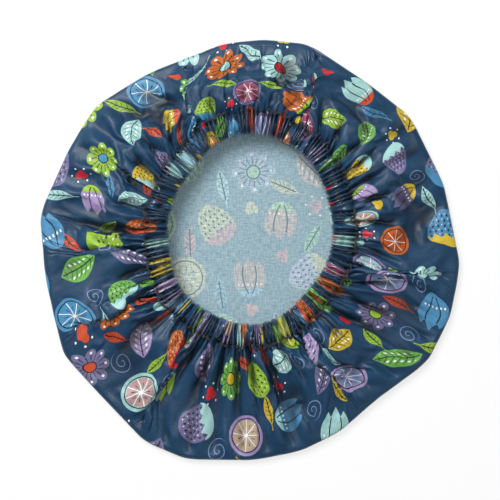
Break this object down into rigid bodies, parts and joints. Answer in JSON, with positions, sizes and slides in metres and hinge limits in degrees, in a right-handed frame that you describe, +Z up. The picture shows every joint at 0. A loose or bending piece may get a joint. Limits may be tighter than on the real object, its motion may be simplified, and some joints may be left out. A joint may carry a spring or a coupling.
{
  "type": "shower cap",
  "caption": "Gathered coated-cotton shower cap lying crown down, its round mouth drawn in by elastic in a stitched casing, to keep hair dry.",
  "frame": {"origin": "on the resting plane, under the middle of the cap's outline", "axes": "+Z up through the mouth, +Y towards the side where the skirt is narrowest, +X to the right of that as seen from above"},
  "size_m": [0.2924, 0.2934, 0.0271],
  "materials": {
    "coated_cotton": "printed cotton, clear-coated outside, plain reverse inside",
    "elastic_knit": "braided white elastic",
    "sewing_thread": "dark spun polyester thread"
  },
  "bodies": {
    "crown": {"crown_panel": "coated_cotton", "skirt_panel": "coated_cotton"},
    "band": {"elastic_casing": "coated_cotton", "elastic_band": "elastic_knit", "elastic_lap_stitch": "sewing_thread", "casing_needle_thread": "sewing_thread", "casing_bobbin_thread": "sewing_thread"}
  },
  "joints": [
    {"name": "band_lift", "type": "slide", "parent": "crown", "child": "band", "axis": [0, 0, 1], "range_m": [0, 0.035], "deforming": ["skirt_panel"]}
  ]
}
